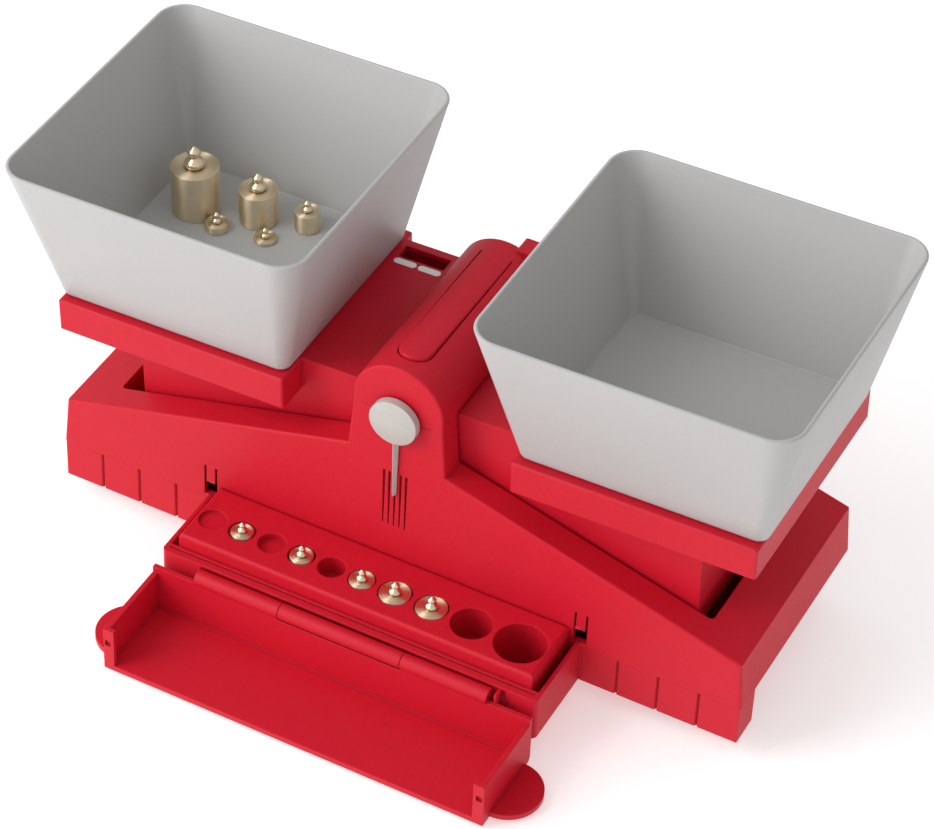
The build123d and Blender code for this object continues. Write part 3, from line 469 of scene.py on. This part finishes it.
def rounded_square(width, depth, corner, level):
    """Flat square with rounded corners, lying at a level."""
    select_nothing()
    bpy.ops.mesh.primitive_plane_add(size=1.0, location=(0, 0, level))
    square = bpy.context.object
    square.scale = (width, depth, 1)
    bpy.ops.object.transform_apply(location=True, rotation=True, scale=True)
    bpy.ops.object.mode_set(mode="EDIT")
    bpy.ops.mesh.select_all(action="SELECT")
    bpy.ops.mesh.bevel(offset=corner, segments=CORNER_STEPS, affect="VERTICES")
    bpy.ops.object.mode_set(mode="OBJECT")
    return square


def select_edges(mesh, wanted):
    """Go to edit mode with just those edges selected whose two ends pass a test."""
    bpy.ops.object.mode_set(mode="EDIT")
    bpy.ops.mesh.select_mode(type="EDGE")
    bpy.ops.mesh.select_all(action="DESELECT")
    bpy.ops.object.mode_set(mode="OBJECT")
    for edge in mesh.edges:
        edge.select = all(wanted(mesh.vertices[index].co) for index in edge.vertices)
    bpy.ops.object.mode_set(mode="EDIT")


def use_modifier(piece, kind, **settings):
    """Add a modifier with its settings and apply it."""
    modifier = piece.modifiers.new(kind.lower(), kind)
    for name, value in settings.items():
        setattr(modifier, name, value)
    bpy.context.view_layer.objects.active = piece
    bpy.ops.object.modifier_apply(modifier=modifier.name)


# %% Bridge the bucket's wall
foot = rounded_square(*BUCKET_FOOT, FOOT_CORNER, 0)
mouth = rounded_square(BUCKET_MOUTH, BUCKET_MOUTH, MOUTH_CORNER, BUCKET_HEIGHT)
select_nothing()
foot.select_set(True)
mouth.select_set(True)
bpy.context.view_layer.objects.active = foot
bpy.ops.object.join()
pail = bpy.context.object
bpy.ops.object.mode_set(mode="EDIT")
bpy.ops.mesh.select_all(action="SELECT")
bpy.ops.mesh.delete(type="ONLY_FACE")
bpy.ops.mesh.select_all(action="SELECT")
bpy.ops.mesh.bridge_edge_loops()
bpy.ops.object.mode_set(mode="OBJECT")
print("bucket faces after the bridge", len(pail.data.polygons))

# %% Fill the foot and round its edge
select_edges(pail.data, lambda point: point.z < FOOT_TOP)
bpy.ops.mesh.edge_face_add()
bpy.ops.object.mode_set(mode="OBJECT")
select_edges(pail.data, lambda point: point.z < FOOT_TOP)
bpy.ops.mesh.bevel(offset=FOOT_BEVEL, segments=FOOT_STEPS, affect="EDGES")
bpy.ops.mesh.select_all(action="SELECT")
bpy.ops.mesh.normals_make_consistent(inside=False)
bpy.ops.object.mode_set(mode="OBJECT")
print("bucket faces with a foot", len(pail.data.polygons))

# %% Give the wall its thickness and round the lip
use_modifier(pail, "SOLIDIFY", thickness=BUCKET_WALL, offset=-1.0, use_even_offset=True)
select_edges(pail.data, lambda point: point.z > LIP_BOTTOM)
bpy.ops.mesh.bevel(offset=LIP_BEVEL, segments=LIP_STEPS, affect="EDGES")
bpy.ops.object.mode_set(mode="OBJECT")
bpy.ops.object.shade_smooth_by_angle(angle=SMOOTH_ANGLE)
print("bucket faces", len(pail.data.polygons))

# %% [markdown]
# Both buckets come from the same mould, so each is a copy of the one that was modelled, with its
# own mesh. Each stands on its tray and leans with the beam.

# %% Put both buckets on the beam
BUCKET_LEVEL = 96.0
BUCKET_SPACING = 179.8
for body, side in (("left_bucket", -1), ("right_bucket", 1)):
    bucket = copy_piece(pail, (side * BUCKET_SPACING / 2, 0, BUCKET_LEVEL))
    finish_piece(bucket, body + "_moulded", body, grey_bucket)
    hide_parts(body)
bpy.data.objects.remove(pail)

# %% [markdown]
# At the right end of the lid's hinge a thin rib stands in the hollow and keeps the pin from
# sliding out. It is one small plate with rounded edges, moulded on the front of the weights
# compartment, so a scaled and bevelled cube gives it. It doesn't lean with the beam.

# %% Model the rib beside the hinge
RIB_PLACE = (60.0, -80.0, 23.0)
RIB_SIZE = (1.1, 4.2, 5.4)
RIB_BEVEL = 0.2
RIB_STEPS = 3
select_nothing()
bpy.ops.mesh.primitive_cube_add(size=1.0, location=RIB_PLACE)
rib = bpy.context.object
rib.scale = RIB_SIZE
bpy.ops.object.transform_apply(location=True, rotation=True, scale=True)
bpy.ops.object.mode_set(mode="EDIT")
bpy.ops.mesh.select_mode(type="EDGE")
bpy.ops.mesh.select_all(action="SELECT")
bpy.ops.mesh.bevel(offset=RIB_BEVEL, segments=RIB_STEPS, affect="EDGES")
bpy.ops.object.mode_set(mode="OBJECT")
bpy.ops.object.shade_smooth_by_angle(angle=SMOOTH_ANGLE)
finish_piece(rib, "hinge_rib", "base", red_compartment, 0)

# %% [markdown]
# A brass weight is turned on a lathe, and Spin does the same here: half of its outline is drawn
# point by point with Extrude, then swept once round the axis. The body has a bevelled rim and
# a shallow groove round its face, and the knob has a wide low bead, a thin neck and a small
# ball with a tip.

# %% Sizes of the weights
# Body diameter, body height, knob diameter and knob height in millimetres
WEIGHT_SIZES = {
    "50g": (17.8, 19.4, 6.4, 9.0),
    "20g": (14.2, 13.8, 5.2, 7.2),
    "10g": (11.6, 10.0, 3.9, 5.2),
    "5g": (9.4, 7.8, 3.4, 4.8),
    "2g": (8.7, 3.0, 3.2, 4.6),
    "1g": (8.3, 1.5, 2.9, 4.2),
}
RIM_BEVEL = 0.45
FOOT_SHARE = 1 / 3
RIM_SHARE = 0.3
GROOVE_DEPTH = 0.06
# Where the groove's four corners lie in from the rim, in rim bevels
GROOVE_SHARES = (2.2, 2.4, 2.7, 2.9)
# Shares of the knob's radius and height, up over the bead and the ball to the tip
KNOB_SHARES = [
    (0.98, 0.0), (1.12, 0.04), (1.20, 0.10), (1.21, 0.16), (1.13, 0.23), (0.94, 0.30),
    (0.70, 0.36), (0.54, 0.41), (0.49, 0.45), (0.55, 0.50), (0.68, 0.55), (0.77, 0.61),
    (0.79, 0.67), (0.73, 0.73), (0.60, 0.78), (0.43, 0.83), (0.30, 0.87), (0.22, 0.90),
    (0.13, 0.93), (0.0, 0.945),
]
SPIN_STEPS = 64
SPIN_MERGE = 0.0005
WEIGHT_SMOOTH_ANGLE = radians(28)

# %% Outline of a weight, and the lathe


def weight_outline(kind):
    """Half outline of a weight from the middle of its foot to its tip, in millimetres."""
    diameter, height, knob_diameter, knob_height = WEIGHT_SIZES[kind]
    radius = diameter / 2
    foot_cut = RIM_BEVEL * FOOT_SHARE
    rim_cut = RIM_BEVEL * RIM_SHARE
    groove = [radius - RIM_BEVEL * share for share in GROOVE_SHARES]
    body = [
        (0, 0), (radius / 2, 0), (radius - RIM_BEVEL, 0), (radius - foot_cut, foot_cut),
        (radius, RIM_BEVEL), (radius, height - RIM_BEVEL), (radius - rim_cut, height - rim_cut),
        (radius - RIM_BEVEL, height), (groove[0], height), (groove[1], height - GROOVE_DEPTH),
        (groove[2], height - GROOVE_DEPTH), (groove[3], height),
    ]
    knob = [(x * knob_diameter / 2, height + z * knob_height) for x, z in KNOB_SHARES]
    return body + knob


def turn_on_lathe(outline):
    """Draw the outline with Extrude and sweep it round the upright axis with Spin."""
    select_nothing()
    bpy.ops.mesh.primitive_plane_add(size=1.0, location=(0, 0, 0))
    turned = bpy.context.object
    bpy.ops.object.mode_set(mode="EDIT")
    bpy.ops.mesh.select_mode(type="VERT")
    bpy.ops.mesh.select_all(action="SELECT")
    bpy.ops.mesh.merge(type="CENTER")
    for (x, z), (next_x, next_z) in zip(outline, outline[1:]):
        bpy.ops.mesh.extrude_region_move(
            TRANSFORM_OT_translate={"value": (next_x - x, 0, next_z - z)}
        )
    bpy.ops.mesh.select_all(action="SELECT")
    bpy.ops.mesh.spin(steps=SPIN_STEPS, angle=2 * pi, center=(0, 0, 0), axis=(0, 0, 1))
    bpy.ops.mesh.select_all(action="SELECT")
    bpy.ops.mesh.remove_doubles(threshold=SPIN_MERGE)
    bpy.ops.mesh.normals_make_consistent(inside=False)
    bpy.ops.object.mode_set(mode="OBJECT")
    bpy.ops.object.shade_smooth_by_angle(angle=WEIGHT_SMOOTH_ANGLE)
    return turned


# %% Keep the way along the outline and the knob on the mesh


def mark_turning(mesh, outline):
    """Store how far along the outline each point lies, in metres, and whether on the knob."""
    way = [0.0]
    for (x, z), (next_x, next_z) in zip(outline, outline[1:]):
        way.append(way[-1] + hypot(next_x - x, next_z - z))
    mesh.attributes.new("turning", "FLOAT", "POINT")
    mesh.attributes.new("knob", "FLOAT", "POINT")
    knob_start = len(outline) - len(KNOB_SHARES)
    for vertex in mesh.vertices:
        radius = hypot(vertex.co.x, vertex.co.y)
        nearest = min(
            range(len(outline)),
            key=lambda index: hypot(outline[index][0] - radius, outline[index][1] - vertex.co.z),
        )
        mesh.attributes["turning"].data[vertex.index].value = way[nearest] * MM
        mesh.attributes["knob"].data[vertex.index].value = float(nearest >= knob_start)


# %% [markdown]
# Five weights stand loose in the left bucket and lean with it, and five sit upright in every
# other hole or so of the rack. The rack's holes are graded, with the same bridge of plastic
# between each two, so their centres follow from their sizes.

# %% Centres of the rack's holes, in millimetres
HOLES = [10.2] * 6 + [12.5] * 2 + [15.1, 19.0]
HOLE_GAP = 1.8
HOLE_LINE = -61.5
RACK_TOP = 32.2
# How far the body of a racked weight stands out of its hole
RACKED_RISE = 0.2
hole_places = []
hole_edge = -(sum(HOLES) + HOLE_GAP * (len(HOLES) - 1)) / 2
for hole in HOLES:
    hole_places.append(hole_edge + hole / 2)
    hole_edge += hole + HOLE_GAP
print("hole centres", [round(place, 2) for place in hole_places])

# %% Places of the weights
# Kind and place, in shares of the bucket's foot from its middle
LOOSE_SHARES = {
    "weight_50g": ("50g", -0.304, 0.213),
    "weight_20g": ("20g", -0.052, 0.272),
    "weight_5g_loose": ("5g", 0.144, 0.317),
    "weight_2g_loose": ("2g", -0.168, 0.142),
    "weight_1g_loose": ("1g", 0.036, 0.170),
}
# Kind and hole, counted from 0 at the left
RACKED = {
    "weight_1g_racked": ("1g", 1),
    "weight_2g_racked": ("2g", 3),
    "weight_5g_racked": ("5g", 5),
    "weight_10g_left": ("10g", 6),
    "weight_10g_right": ("10g", 7),
}
FOOT_WIDTH = BUCKET_FOOT[0]
weight_places = {}
for name, (kind, share_x, share_y) in LOOSE_SHARES.items():
    loose_x = share_x * FOOT_WIDTH - BUCKET_SPACING / 2
    spot = (loose_x, share_y * FOOT_WIDTH, BUCKET_LEVEL + BUCKET_WALL)
    weight_places[name] = (kind, spot, REST_LEAN)
for name, (kind, hole) in RACKED.items():
    level = RACK_TOP - WEIGHT_SIZES[kind][1] + RACKED_RISE
    weight_places[name] = (kind, (hole_places[hole], HOLE_LINE, level), 0)
print("weights", len(weight_places))

# %% Turn one weight of each kind and copy it to its places
for kind in WEIGHT_SIZES:
    outline = weight_outline(kind)
    pattern = turn_on_lathe(outline)
    mark_turning(pattern.data, outline)
    for name, (placed_kind, spot, lean) in weight_places.items():
        if placed_kind == kind:
            weight = copy_piece(pattern, spot)
            finish_piece(weight, name + "_turned", name, brass, lean)
            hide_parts(name)
    bpy.data.objects.remove(pattern)

# %% [markdown]
# The floor is a plain white sheet that glows a little, as a lit light table does, so that the
# shadows on it stay soft and pale. It is a stage and no part of the balance. It lies a hair
# below the feet, so that they don't share a plane with it.

# %% Floor
FLOOR_SIZE = 8.0
FLOOR_LEVEL = -0.0002
FLOOR_WHITE = (0.80, 0.80, 0.80, 1)
FLOOR_GLOW = 0.42
select_nothing()
bpy.ops.mesh.primitive_plane_add(size=FLOOR_SIZE, location=(0, 0, FLOOR_LEVEL))
floor = bpy.context.object
floor.name = "floor"
floor_material, start = clear_material("paper_floor")
close_material(
    start,
    {
        "Base Color": FLOOR_WHITE, "Roughness": 1.0, "Specular IOR Level": 0.0,
        "Emission Color": (1, 1, 1, 1), "Emission Strength": FLOOR_GLOW,
    },
)
floor.data.materials.append(floor_material)
print("floor", FLOOR_SIZE, "m")

# %% [markdown]
# The pale world fills the shadows. It is darker behind on the right, as a studio is away from
# its lights, so that the turned brass has something dark to reflect.

# %% World
WORLD_STRENGTH = 0.74
WORLD_FALL = 0.22
DARK_SIDE = (0.70, 0.66, 0.27)
world = bpy.data.worlds.new("studio")
world.use_nodes = True
world.node_tree.nodes.clear()
start = Wire(world.node_tree)
facing = start.make("ShaderNodeTexCoord", None, None, "Generated")
strength = WORLD_STRENGTH - dot_product(start, facing, DARK_SIDE) * WORLD_FALL
sky = start.make("ShaderNodeBackground", None, {"Color": (1, 1, 1, 1), "Strength": strength})
start.make("ShaderNodeOutputWorld", None, {"Surface": sky})
bpy.context.scene.world = world
print("world", WORLD_STRENGTH, "falls by", WORLD_FALL)

# %% [markdown]
# The key light is low and stands in front on the left, so that the left walls throw soft
# shadows into the buckets and the lid. A higher light beside it reaches into the buckets, and
# a weak one on the left lifts the near end. All three are large square panels, because the
# photograph's shadows have soft edges.

# %% Lights
LIGHT_AIM = Vector((0, 0, 0.05))
# Place and size in metres, and power in watts
LIGHTS = {
    "key_light": ((-1.15, -1.2, 0.55), 0.6, 5.5),
    "high_light": ((-0.95, -0.95, 1.15), 0.8, 10.5),
    "side_light": ((-1.5, -0.3, 0.7), 0.9, 2.0),
}
for name, (place, size, power) in LIGHTS.items():
    lamp = bpy.data.lights.new(name, "AREA")
    lamp.size = size
    lamp.energy = power
    holder = bpy.data.objects.new(name, lamp)
    bpy.context.scene.collection.objects.link(holder)
    holder.location = place
    holder.rotation_euler = (LIGHT_AIM - Vector(place)).to_track_quat("-Z", "Y").to_euler()
print("lights", len(LIGHTS))

# %% [markdown]
# The camera was fitted to the outlines in the photograph: a long lens from the right front,
# looking down by 42 degrees. Yaw turns it to the left from the Y axis, pitch tips it down, and
# roll turns the picture about its middle.

# %% Camera
CAMERA_PLACE = (433.23, -842.29, 937.30)
CAMERA_YAW = radians(26.13)
CAMERA_PITCH = radians(41.97)
CAMERA_ROLL = radians(2.76)
camera_data = bpy.data.cameras.new("photo_camera")
camera = bpy.data.objects.new("photo_camera", camera_data)
bpy.context.scene.collection.objects.link(camera)
bpy.context.scene.camera = camera
camera_data.sensor_width = 36.0
camera_data.lens = 143.42
forward_y = cos(CAMERA_YAW) * cos(CAMERA_PITCH)
forward = Vector((-sin(CAMERA_YAW) * cos(CAMERA_PITCH), forward_y, -sin(CAMERA_PITCH)))
right = Vector((cos(CAMERA_YAW), sin(CAMERA_YAW), 0))
up = right.cross(forward)
across = right * cos(CAMERA_ROLL) + up * sin(CAMERA_ROLL)
upright = up * cos(CAMERA_ROLL) - right * sin(CAMERA_ROLL)
turn = Matrix((across, upright, -forward)).transposed()
camera.matrix_world = Matrix.Translation(Vector(CAMERA_PLACE) * MM) @ turn.to_4x4()
bpy.context.scene.view_settings.view_transform = "Standard"
print("camera lens", round(camera_data.lens, 2), "mm")
